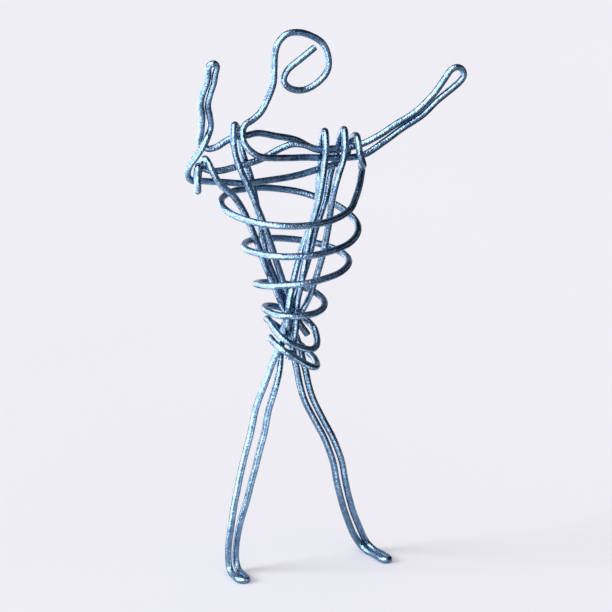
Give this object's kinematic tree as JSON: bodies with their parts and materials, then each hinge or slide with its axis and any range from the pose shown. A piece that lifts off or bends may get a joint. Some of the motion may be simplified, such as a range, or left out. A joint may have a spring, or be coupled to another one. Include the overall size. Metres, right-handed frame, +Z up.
{
  "type": "wire figure",
  "caption": "Standing human figure bent by hand from soft galvanised wire, arms raised, coiled torso, with neck, shoulders and hips that can be bent.",
  "frame": {"origin": "on the floor, under the middle of the figure's box", "axes": "+Z up; the figure faces -Y, and +X is the viewer's right"},
  "size_m": [0.0704, 0.023, 0.1329],
  "materials": {
    "galvanised_wire": "soft steel wire with a dull, lightly pitted zinc coat"
  },
  "bodies": {
    "torso": {"collar_run": "galvanised_wire", "back_run": "galvanised_wire", "binding_wire": "galvanised_wire", "left_hook": "galvanised_wire", "left_tie": "galvanised_wire", "inner_hook": "galvanised_wire", "outer_hook": "galvanised_wire", "neck_bend": "galvanised_wire", "right_arm_bend_lower": "galvanised_wire", "right_arm_bend_upper": "galvanised_wire", "left_arm_bend_outer": "galvanised_wire", "left_arm_bend_inner": "galvanised_wire", "right_hip_bend_outer": "galvanised_wire", "right_hip_bend_inner": "galvanised_wire", "left_hip_bend_outer": "galvanised_wire", "left_hip_bend_inner": "galvanised_wire"},
    "head": {"head_loop": "galvanised_wire"},
    "left_arm": {"left_arm": "galvanised_wire"},
    "right_arm": {"right_arm": "galvanised_wire"},
    "left_leg": {"left_leg": "galvanised_wire"},
    "right_leg": {"right_leg": "galvanised_wire"}
  },
  "joints": [
    {"name": "neck", "type": "hinge", "parent": "torso", "child": "head", "pos_m": [-0.01435, 0.00014, 0.117], "axis": [1, 0, 0], "range_deg": [-40, 40], "deforming": ["neck_bend"]},
    {"name": "left_shoulder", "type": "hinge", "parent": "torso", "child": "left_arm", "pos_m": [-0.02995, -0.00086, 0.112], "axis": [1, 0, 0], "range_deg": [-60, 60], "deforming": ["left_arm_bend_outer", "left_arm_bend_inner"]},
    {"name": "right_shoulder", "type": "hinge", "parent": "torso", "child": "right_arm", "pos_m": [0.01384, 0.00014, 0.1038], "axis": [0.6, 0, -0.8], "range_deg": [-60, 60], "deforming": ["right_arm_bend_lower", "right_arm_bend_upper"]},
    {"name": "left_hip", "type": "hinge", "parent": "torso", "child": "left_leg", "pos_m": [-0.01325, 0.00014, 0.049], "axis": [1, 0, 0], "range_deg": [-45, 45], "deforming": ["left_hip_bend_outer", "left_hip_bend_inner"]},
    {"name": "right_hip", "type": "hinge", "parent": "torso", "child": "right_leg", "pos_m": [-0.00605, 0.00014, 0.049], "axis": [1, 0, 0], "range_deg": [-45, 45], "deforming": ["right_hip_bend_outer", "right_hip_bend_inner"]}
  ]
}
